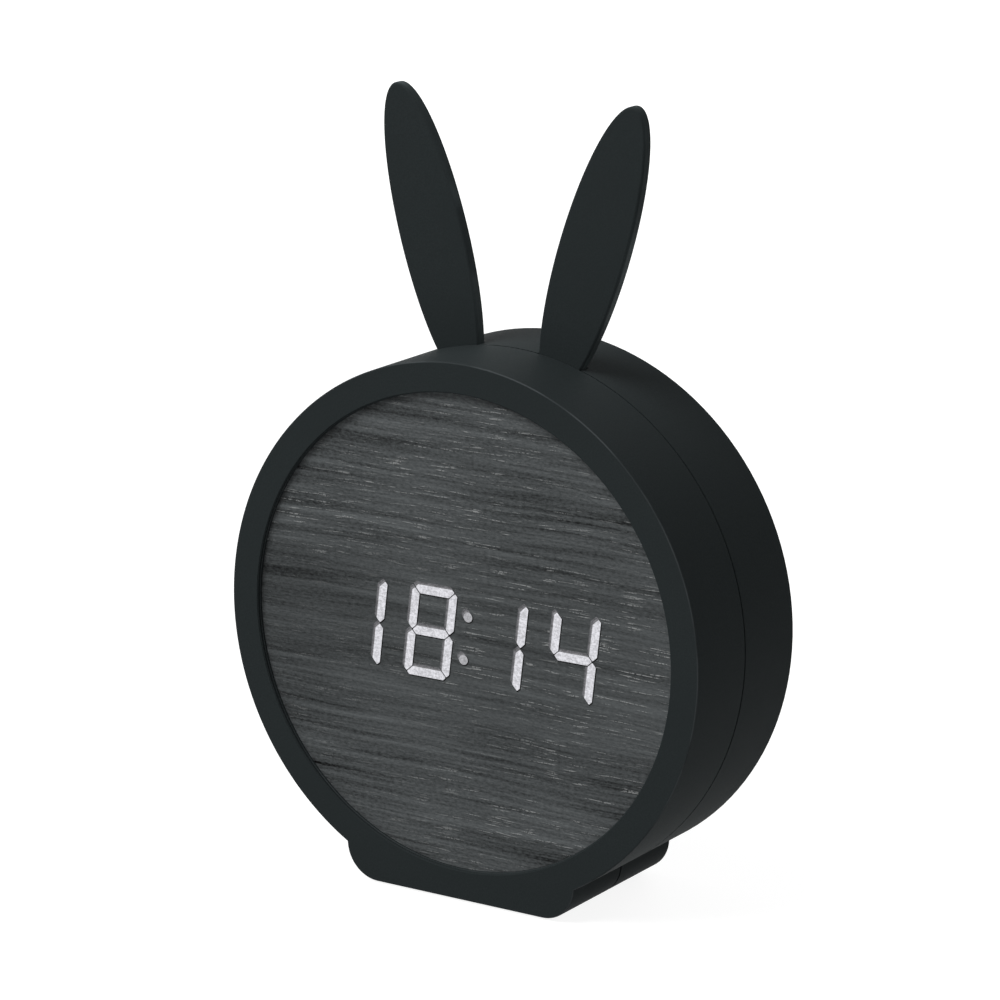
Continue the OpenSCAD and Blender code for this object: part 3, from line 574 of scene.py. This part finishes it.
def outline_angles(corner):
    """Angles round the drum's axis from straight down, with one at each end of the foot's flat and
    corners, and at the creases between drum and foot."""
    across, down = FOOT_FLAT, DRUM_R - corner
    reach = math.hypot(across, down)
    opened = math.acos((DRUM_R ** 2 + reach ** 2 - corner ** 2) / (2 * DRUM_R * reach))
    crease = math.atan2(across, down) + opened
    stops = [0.0, math.atan2(FOOT_FLAT, DRUM_R), crease, math.pi]
    half = np.concatenate([np.linspace(stops[i], stops[i + 1], steps, endpoint=False)
                           for i, steps in enumerate((10, 14, 150))])
    return np.concatenate([half, [math.pi], -half[:0:-1]])


def outline_radius(turn, corner, inset):
    """Distance from the drum's axis to the outline drawn in by inset: the larger of the drum's
    circle and the foot's block, whose flat, side and round corner are each met where the ray
    crosses them."""
    drum, low = DRUM_R - inset, DRUM_R - inset
    half = FOOT_FLAT + corner - inset
    bend = corner - inset
    down, side = np.cos(turn), np.abs(np.sin(turn))
    to_bend = side * (half - bend) + down * (low - bend)
    square = (half - bend) ** 2 + (low - bend) ** 2 - bend ** 2
    on_bend = to_bend + np.sqrt(np.maximum(to_bend ** 2 - square, 0))
    on_flat = low / np.maximum(down, MERGE)
    on_side = half / np.maximum(side, MERGE)
    block = np.where(on_flat * side <= half - bend, on_flat,
                     np.where(on_side * down <= low - bend, on_side, on_bend))
    return np.where(down > 0, np.maximum(drum, block), drum)


class ClockOperator:
    bl_options = {"REGISTER", "UNDO"}


class CLOCK_OT_front_shell(ClockOperator, bpy.types.Operator):
    """Front shell: the outline of drum and foot, with a round bore for the face"""
    bl_idname = "clock.front_shell"
    bl_label = "Front shell"

    def execute(self, context):
        """Rows of the surface run round the section of the wall: bore, front, outer wall, seam,
        inner wall and deck. Each row is the outline drawn in by a distance, or a circle, at one
        depth."""
        size = sizes()
        turn = outline_angles(size.foot_corner)
        rows = []

        def circle(radius, y, edge_light=0.0):
            rows.append((np.full_like(turn, radius), y, edge_light))

        def outline(inset, y, edge_light=0.0):
            rows.append((outline_radius(turn, size.foot_corner, inset), y, edge_light))

        bead = VENEER_Y - size.bead_height
        circle(OPENING_R - size.bead_width, DECK_Y)
        circle(OPENING_R - size.bead_width, bead + size.bead_width / 2)
        # Painted highlight: the 1.0 gives the bead's crest the lighter edge colour
        circle(OPENING_R - size.bead_width / 2, bead, 1.0)
        circle(OPENING_R, bead)
        for away, depth in zip(*arc(size.bore_round, 6)):
            circle(OPENING_R + size.bore_round - away, FRONT_Y + size.bore_round - depth)
        # Painted highlight: the sine gives the middle of the front edge's round the lighter edge
        # colour
        for step, (inset, depth) in enumerate(zip(*arc(size.shell_round, 7))):
            outline(inset, FRONT_Y + depth, math.sin(math.pi * step / 6))
        for depth, inset in zip(*arc(size.seam_round, 3)):
            outline(inset, SEAM_Y - depth)
        outline(size.wall, SEAM_Y)
        outline(size.wall, DECK_Y + size.deck)
        circle(OPENING_R - size.wall, DECK_Y + size.deck)
        circle(OPENING_R - size.wall, DECK_Y)
        radius, depth, edge_light = [np.array(column) for column in zip(*rows)]
        depth = depth[:, None] + np.zeros_like(radius)
        grid = np.stack([radius * np.sin(turn), depth, AXIS_Z - radius * np.cos(turn)], axis=-1)
        colours = tones()
        make_piece("front_shell", surface_mesh("front_shell", grid, wrap_rows=True, share=edge_light),
                   "housing",
                   moulded_plastic("charcoal_plastic", colours.shell, edge_light_colour=colours.edge_light_colour),
                   ["front_housing"])
        return {"FINISHED"}


class CLOCK_OT_rear_shell(ClockOperator, bpy.types.Operator):
    """Rear cover: its walls, sunk button panel, bay and holes, with softened edges"""
    bl_idname = "clock.rear_shell"
    bl_label = "Rear shell"

    def execute(self, context):
        make_piece("rear_shell", merged_copy("rear_cover", "rear_shell"), "housing",
                   moulded_plastic("charcoal_plastic_rear", tones().shell),
                   ["rear_cover"], sizes().cover_round)
        return {"FINISHED"}


EAR_BELOW = 1 * MM            # how far below the drum's surface the lean begins


class CLOCK_OT_ears(ClockOperator, bpy.types.Operator):
    """Ears: flat ellipses with rounded edges that lean back out of the seam"""
    bl_idname = "clock.ears"
    bl_label = "Ears"

    def execute(self, context):
        """Each ear is an ellipse carried through its thickness. From the middle of the front to
        the middle of the back, the profile gives how much of the ellipse is left and how deep it
        lies. Above the drum, the blade leans back: its depth grows with the sine of the lean. The
        painted edge light, which lightens the ears' shaded sides and paints a highlight round their
        edges, grows with the fourth power of the way round the edge."""
        size = sizes()
        finish = moulded_plastic("charcoal_plastic_ears", tones().ear, edge_light_colour=tones().ear_edge_light)
        half_w, half_l = size.ear_width / 2, size.ear_length / 2
        thick, bend = size.ear_thickness, size.ear_round
        share = np.linspace(0, 1, 9)[:-1]
        swell = size.ear_crown * (1 - share ** 2)
        inset, depth = arc(bend, 8)
        cut = np.concatenate([bend + 0 * share, inset, inset[::-1], bend + 0 * share])
        left = np.concatenate([share, 1 + 0 * inset, 1 + 0 * inset, share[::-1]])
        # Painted light: rises from 0 at the front of the bend to 1 on the side
        rim = (1 - inset / bend) ** 4
        edge_light = np.concatenate([0 * share, rim, rim[::-1], 0 * share])
        crown = size.ear_crown
        y = np.concatenate([crown - swell, crown + depth, thick - crown - depth[::-1],
                            thick - crown + swell[::-1]])
        turn = np.linspace(0, 2 * math.pi, 160, endpoint=False)
        across = (left * (half_w - cut))[:, None] * np.sin(turn)
        along = (left * (half_l - cut))[:, None] * np.cos(turn) + half_l - size.ear_sunk
        for side, name in ((-1, "left_ear"), (1, "right_ear")):
            x = DRUM_R * math.sin(size.ear_angle) + across * math.cos(size.ear_tilt) \
                + along * math.sin(size.ear_tilt)
            z = DRUM_R * math.cos(size.ear_angle) - across * math.sin(size.ear_tilt) \
                + along * math.cos(size.ear_tilt)
            foot = DRUM_R * math.cos(size.ear_angle + math.asin(half_w / DRUM_R)) - EAR_BELOW
            above = np.maximum(z - foot, 0)
            deep = SEAM_Y + y[:, None] + above * math.sin(size.ear_lean)
            z = z - above * (1 - math.cos(size.ear_lean))
            grid = np.stack([side * x, deep, AXIS_Z + z], axis=-1)
            blade = surface_mesh(name, grid, self.root(size, side), share=edge_light)
            make_piece(name + "_blade", blade, "housing", finish, [name])
        return {"FINISHED"}

    def root(self, size, side):
        """Bar inside the drum, square to the drum's radius, with a screw hole. Its rows run from
        the hole's front edge over the bar's outline, and back through the hole. Seen from the
        hole, the outline lies at the nearer of the bar's side and end."""
        half_l, half_h = size.root_length / 2, size.root_height / 2
        corner = math.atan2(half_h, half_l)
        turn = np.sort(np.concatenate([np.linspace(0, 2 * math.pi, 60, endpoint=False),
                                       [corner, math.pi - corner, math.pi + corner, -corner]]))
        ray = np.stack([np.cos(turn), np.sin(turn)])
        edge = ray / np.max(np.abs(ray) / np.array([[half_l], [half_h]]), axis=0)
        hole = ray * size.root_hole / 2
        rows = []
        for (u, v), y in ((hole, 0), (edge, 0), (edge, 1), (hole, 1), (hole, 0)):
            out = size.root_radius + v
            x = out * math.sin(size.ear_angle) + u * math.cos(size.ear_angle)
            z = out * math.cos(size.ear_angle) - u * math.sin(size.ear_angle)
            rows.append(np.stack([side * x, SEAM_Y + y * size.ear_thickness + 0 * x, AXIS_Z + z],
                                 axis=1))
        return np.stack(rows)


class CLOCK_OT_face(ClockOperator, bpy.types.Operator):
    """Face: the stained veneer in front of the deck"""
    bl_idname = "clock.face"
    bl_label = "Wood face"

    def execute(self, context):
        paint(stained_veneer(tones()), "face_veneer")
        paint(moulded_plastic("adhesive_sheet", (0.03, 0.03, 0.03), 0.7), "face_adhesive")
        return {"FINISHED"}


def front_outlines(node):
    """The flat faces at the front of a CAD node, each as the (x, z) of its corners in order,
    turned anticlockwise as seen from the front."""
    mesh = merged_copy(node, node)
    points = mesh_points(mesh)
    front = points[:, 1].min() + NEAR
    outlines = []
    for face in mesh.polygons:
        corners = points[list(face.vertices)]
        if corners[:, 1].max() < front:
            x, z = corners[:, 0], corners[:, 2]
            area = np.sum(x * np.roll(z, -1) - z * np.roll(x, -1))
            outlines.append(corners[:: 1 if area > 0 else -1, [0, 2]])
    bpy.data.meshes.remove(mesh)
    return outlines


def rounded_outline(outline, grow, corner, steps=5):
    """Convex outline moved outwards by grow, with round corners. Each corner is first moved
    inwards along the sum of its two edges' normals, and then an arc of the corner's radius is
    drawn about it."""
    edge = np.roll(outline, -1, axis=0) - outline
    normal = np.stack([edge[:, 1], -edge[:, 0]], axis=1) / np.linalg.norm(edge, axis=1)[:, None]
    before = np.roll(normal, 1, axis=0)
    reach = (before + normal) / (1 + np.sum(before * normal, axis=1))[:, None]
    centre = outline - (corner - grow) * reach
    share = np.linspace(0, 1, steps)[None, :, None]
    swing = before[:, None] * (1 - share) + normal[:, None] * share
    swing /= np.linalg.norm(swing, axis=2)[:, :, None]
    return (centre[:, None] + corner * swing).reshape(-1, 2)


def tablet(outline, front, back):
    """Closed tablet: rows of points from the middle of its back, over the outline at both
    depths, to the middle of its front."""
    middle = np.broadcast_to(outline.mean(axis=0), outline.shape)
    rows = [(middle, back), (outline, back), (outline, front), (middle, front)]
    return np.stack([np.stack([flat[:, 0], np.full(len(flat), y), flat[:, 1]], axis=1)
                     for flat, y in rows])


class CLOCK_OT_digits(ClockOperator, bpy.types.Operator):
    """Digits: each lit lens drawn forward to the veneer's face, with a dark rim and a halo"""
    bl_idname = "clock.digits"
    bl_label = "Lit digits"

    def execute(self, context):
        """The halo lies nearest to the veneer, then the dark rim, then the light."""
        size = sizes()
        digit = glowing("digit_light", tones().digit)
        dot = glowing("colon_light", tones().dot)
        lit = {"hours_tens_segments": digit, "hours_units_segments": digit, "colon_dots": dot,
               "minutes_tens_segments": digit, "minutes_units_segments": digit}
        outlines = {node: front_outlines(node) for node in lit}
        for node, finish in lit.items():
            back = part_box(node)[1].y
            tablets = [tablet(rounded_outline(outline, 0, size.glow_corner),
                              VENEER_Y - size.glow_proud, back) for outline in outlines[node]]
            make_piece(node + "_light", surface_mesh(node, *tablets), "housing", finish,
                       [node])
        flat = [outline for node in lit for outline in outlines[node]]
        away = np.array([-size.halo_across, size.halo_up])
        rim_away = np.array([size.rim_shift, -size.rim_shift])
        colours = tones()
        far_light = glowing("halo_light", colours.halo, 0.5)
        near_light = glowing("near_halo_light", colours.near_halo, 0.5)
        # The dark rim is painted shade: a near-black sheet round each lit shape, moved down and
        # rightwards
        painted_rim_shade = moulded_plastic("painted_rim_shade", colours.rim, 0.7)
        layers = (("glow_halo", far_light, 0.2, 0, away),
                  ("near_halo", near_light, 0.4, 0, away / 2),
                  ("painted_shade_rims", painted_rim_shade, 0.6, size.rim_width, rim_away))
        for name, finish, share, grow, shift in layers:
            tablets = [tablet(rounded_outline(outline, grow, size.glow_corner) + shift,
                              VENEER_Y - share * size.glow_proud, VENEER_Y + size.glow_proud)
                       for outline in flat]
            make_piece(name, surface_mesh(name, *tablets), "housing", finish, [])
        return {"FINISHED"}


class CLOCK_OT_buttons(ClockOperator, bpy.types.Operator):
    """Buttons: round caps with dished tops and a flange inside the panel"""
    bl_idname = "clock.buttons"
    bl_label = "Buttons"

    def execute(self, context):
        """Profile of a cap from the middle of its inner face, over the flange and up the side to
        the dished top: the dish is its depth times 1 - the square of the radius's share."""
        size = sizes()
        finish = moulded_plastic("button_plastic", shade(tones().shell, 1.7), 0.42, 0.015 * MM)
        for body in ("set", "up", "down"):
            low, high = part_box(body + "_button")
            centre = ((low.x + high.x) / 2, low.y, (low.z + high.z) / 2)
            flange_r, tall = (high.x - low.x) / 2, high.y - low.y
            cap_r, flange_t = flange_r - size.flange_width, size.flange_thickness
            inset, depth = arc(size.button_round, 6)
            dish = np.linspace(cap_r - size.button_round, 0, 8)[1:]
            drop = size.button_dish * (1 - (dish / dish.max()) ** 2)
            profile = [(0, 0), (0, flange_r), (flange_t, flange_r), (flange_t, cap_r)]
            profile += list(zip(tall - depth[::-1], cap_r - inset[::-1]))
            profile += list(zip(tall - drop, dish))
            make_piece(body + "_cap", surface_mesh(body, lathe(profile, centre, (0, 1, 0))),
                       body + "_key", finish, [body + "_button"])
        paint(moulded_plastic("plunger_plastic", (0.6, 0.57, 0.5), 0.5), "set_plunger",
              "up_plunger", "down_plunger")
        return {"FINISHED"}


class CLOCK_OT_fittings(ClockOperator, bpy.types.Operator):
    """Battery door, rubber strips and screws, with softened edges"""
    bl_idname = "clock.fittings"
    bl_label = "Door, strips and screws"

    def execute(self, context):
        small = sizes().small_round
        make_piece("bay_door", merged_copy("battery_door", "bay_door"), "door",
                   moulded_plastic("door_plastic", tones().shell), ["battery_door"], small * 2)
        make_piece("foot_strips", merged_copy("rubber_strips", "foot_strips"), "housing",
                   rubber("strip_rubber", (0.012, 0.012, 0.012)),
                   ["rubber_strips"], small)
        make_piece("cover_screws", merged_copy("housing_screws", "cover_screws"), "housing",
                   metal("zinc_plate", (0.5, 0.5, 0.52), 0.34), ["housing_screws"],
                   small / 2)
        return {"FINISHED"}


class CLOCK_OT_cells(ClockOperator, bpy.types.Operator):
    """Cells: sleeved cans with a crimped rim and a nub"""
    bl_idname = "clock.cells"
    bl_label = "Cells"

    def execute(self, context):
        """Profile of a cell from the middle of its flat end to its nub."""
        size = sizes()
        finish = cell_sleeve("cell_sleeve", (0.02, 0.05, 0.035), (0.35, 0.36, 0.36))
        for place in ("lower", "middle", "upper"):
            low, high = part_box(place + "_cell")
            middle = (low + high) / 2
            side = 1 if middle.x > 0 else -1
            total, r = high.x - low.x, (high.z - low.z) / 2
            body = total - size.nub_length
            band = body - size.band_place - size.band_length, body - size.band_place
            profile = [(0.3 * MM, 0), (0.3 * MM, 0.62 * r), (0, 0.7 * r), (0, 0.9 * r),
                       (0.15 * MM, 0.97 * r), (0.5 * MM, r), (band[0], r), (band[0] + 0.1 * MM, r),
                       (band[1], r), (band[1] + 0.1 * MM, r), (body - 0.6 * MM, r),
                       (body - 0.2 * MM, 0.97 * r), (body, 0.9 * r), (body, 0.8 * r),
                       (body - 0.4 * MM, 0.74 * r), (body - 0.4 * MM, 0.37 * r),
                       (body + 0.7 * MM, 0.35 * r), (total, 0.28 * r), (total, 0)]
            share = [float(band[0] < distance <= band[1]) for distance, radius in profile]
            start = (middle.x - side * total / 2, middle.y, middle.z)
            cell = surface_mesh(place, lathe(profile, start, (side, 0, 0)), share=share)
            make_piece(place + "_battery", cell, "housing", finish,
                       [place + "_cell"])
        return {"FINISHED"}


class CLOCK_OT_works(ClockOperator, bpy.types.Operator):
    """Finishes for the boards, their parts, the inlet, the contacts and the leads"""
    bl_idname = "clock.works"
    bl_label = "Works"

    def execute(self, context):
        black = (0.012, 0.012, 0.013)
        paint(laminate("board_laminate", (0.01, 0.09, 0.04)), "display_board", "main_board")
        paint(moulded_plastic("black_plastic", black, 0.5), "display_reflector", "driver_chip",
              "controller_chip", "chip_resistors", "buzzer", "socket_tongue", "switch_bodies")
        paint(moulded_plastic("smoked_resin", (0.03, 0.03, 0.032), 0.3), "unlit_segments")
        paint(moulded_plastic("diode_package", (0.8, 0.76, 0.5), 0.4), "segment_leds")
        paint(moulded_plastic("connector_plastic", (0.7, 0.66, 0.55), 0.5), "ribbon_connectors")
        paint(moulded_plastic("sensor_bead", (0.06, 0.02, 0.01), 0.3), "temperature_sensor")
        paint(lead_sleeve("ribbon_sleeve", (0.55, 0.57, 0.6)), "ribbon_cable")
        paint(lead_sleeve("red_sleeve", (0.4, 0.012, 0.01)), "battery_lead_red")
        paint(lead_sleeve("black_sleeve", (0.01, 0.01, 0.01)), "battery_lead_black")
        paint(metal("nickel_plate", (0.62, 0.61, 0.58), 0.22), "battery_springs",
              "battery_contacts", "power_socket", "microphone", "watch_crystal")
        paint(metal("screw_plate", (0.42, 0.42, 0.44), 0.34), "ear_screws", "display_screws",
              "main_board_screws")
        paint(metal("capacitor_can", (0.1, 0.12, 0.2), 0.4), "smoothing_capacitor")
        return {"FINISHED"}


SENSOR = 36.0                 # width of the camera's sensor in mm, which the lens belongs to
FLOOR_REACH = 4.0             # half the width of the floor


def area_lamp(name, place, aim, width, height, power):
    """Soft box at a place, turned to the point it lights."""
    light = bpy.data.lights.new(name, "AREA")
    light.shape = "RECTANGLE"
    light.size = width
    light.size_y = height
    light.energy = power
    lamp = bpy.data.objects.new(name, light)
    bpy.context.scene.collection.objects.link(lamp)
    lamp.location = place
    lamp.rotation_euler = (Vector(aim) - Vector(place)).to_track_quat("-Z", "Y").to_euler()
    return lamp


class CLOCK_OT_stage(ClockOperator, bpy.types.Operator):
    """Pale floor, soft light and the camera"""
    bl_idname = "clock.stage"
    bl_label = "Stage"

    def execute(self, context):
        stage = context.scene.clock_stage
        self.make_floor()
        self.make_world(context.scene, stage)
        aim = Vector((stage.aim_x, FRONT_Y, stage.aim_z))
        back = Vector((math.sin(stage.azimuth) * math.cos(stage.elevation),
                       -math.cos(stage.azimuth) * math.cos(stage.elevation),
                       math.sin(stage.elevation)))
        middle = (0, 0, 0.08)
        area_lamp("key_box", (-0.6, -0.9, 1.45), middle, 1.1, 1.1, stage.key)
        area_lamp("fill_box", (0.9, -1.5, 0.5), middle, 1.0, 0.8, stage.fill)
        behind = area_lamp("back_box", (-0.4, 1.6, 0.4), middle, 1.2, 0.5, stage.back)
        behind.visible_glossy = False
        lens = bpy.data.cameras.new("camera")
        lens.lens = stage.lens
        lens.sensor_width = SENSOR
        camera = bpy.data.objects.new("camera", lens)
        context.scene.collection.objects.link(camera)
        camera.location = aim + back * stage.distance
        camera.rotation_euler = (-back).to_track_quat("-Z", "Y").to_euler()
        context.scene.camera = camera
        context.scene.view_settings.view_transform = "Standard"
        return {"FINISHED"}

    def make_floor(self):
        """Flat floor: to the camera it is nearly white by itself, and takes a faint shadow."""
        corners = [(x * FLOOR_REACH, y * FLOOR_REACH, 0)
                   for x, y in ((-1, -1), (1, -1), (1, 1), (-1, 1))]
        mesh = bpy.data.meshes.new("floor")
        mesh.from_pydata(corners, [], [(0, 1, 2, 3)])
        floor = bpy.data.objects.new("floor", mesh)
        bpy.context.scene.collection.objects.link(floor)
        finish = Finish("floor")
        finish.set(Base_Color=(0.4, 0.4, 0.4, 1.0), Roughness=0.9, Specular_IOR_Level=0.0)
        shadowed = finish.node("ShaderNodeBsdfDiffuse", inputs={"Color": (0.24, 0.24, 0.24, 1.0)})
        glow = finish.node("ShaderNodeEmission", inputs={"Strength": 0.89})
        seen = finish.node("ShaderNodeAddShader", inputs={0: shadowed, 1: glow})
        lit = Signal(finish, finish.shader.outputs[0])
        both = finish.node("ShaderNodeMixShader", inputs={0: finish.plain_ray(), 1: lit, 2: seen})
        finish.feed(finish.tree.nodes["Material Output"].inputs["Surface"], both)
        mesh.materials.append(finish.material)

    def make_world(self, scene, stage):
        """White to the camera, and a weaker white for the light it gives."""
        scene.world = bpy.data.worlds.new("studio")
        scene.world.use_nodes = True
        sky = Nodes(scene.world.node_tree)
        white = (1.0, 1.0, 1.0, 1.0)
        lit, seen = [sky.node("ShaderNodeBackground",
                              inputs={"Color": white, "Strength": strength})
                     for strength in (stage.world, 1.0)]
        both = sky.node("ShaderNodeMixShader", inputs={0: sky.plain_ray(), 1: lit, 2: seen})
        sky.feed(sky.tree.nodes["World Output"].inputs["Surface"], both)


OPERATORS = (CLOCK_OT_front_shell, CLOCK_OT_rear_shell, CLOCK_OT_ears, CLOCK_OT_face,
             CLOCK_OT_digits, CLOCK_OT_buttons, CLOCK_OT_fittings, CLOCK_OT_cells,
             CLOCK_OT_works, CLOCK_OT_stage)


class CLOCK_PT_panel(bpy.types.Panel):
    """Lists the clock's operators and what they read"""
    bl_idname = "CLOCK_PT_panel"
    bl_label = "Alarm clock"
    bl_space_type = "VIEW_3D"
    bl_region_type = "UI"
    bl_category = "Clock"

    def draw(self, context):
        for operator in OPERATORS:
            self.layout.operator(operator.bl_idname)
        for group in ("clock_sizes", "clock_colours", "clock_stage"):
            values = getattr(context.scene, group)
            box = self.layout.box()
            for name in values.__annotations__:
                box.prop(values, name)


GROUPS = {"clock_sizes": ClockSizes, "clock_colours": ClockColours, "clock_stage": ClockStage}


def register():
    for group in GROUPS.values():
        bpy.utils.register_class(group)
    for name, group in GROUPS.items():
        setattr(bpy.types.Scene, name, PointerProperty(type=group))
    for operator in OPERATORS:
        bpy.utils.register_class(operator)
    bpy.utils.register_class(CLOCK_PT_panel)


def unregister():
    bpy.utils.unregister_class(CLOCK_PT_panel)
    for operator in reversed(OPERATORS):
        bpy.utils.unregister_class(operator)
    for name in GROUPS:
        delattr(bpy.types.Scene, name)
    for group in reversed(GROUPS.values()):
        bpy.utils.unregister_class(group)


def main():
    """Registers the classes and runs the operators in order."""
    register()
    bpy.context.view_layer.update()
    for operator in OPERATORS:
        group, name = operator.bl_idname.split(".")
        getattr(getattr(bpy.ops, group), name)()


if __name__ == "__main__":
    main()
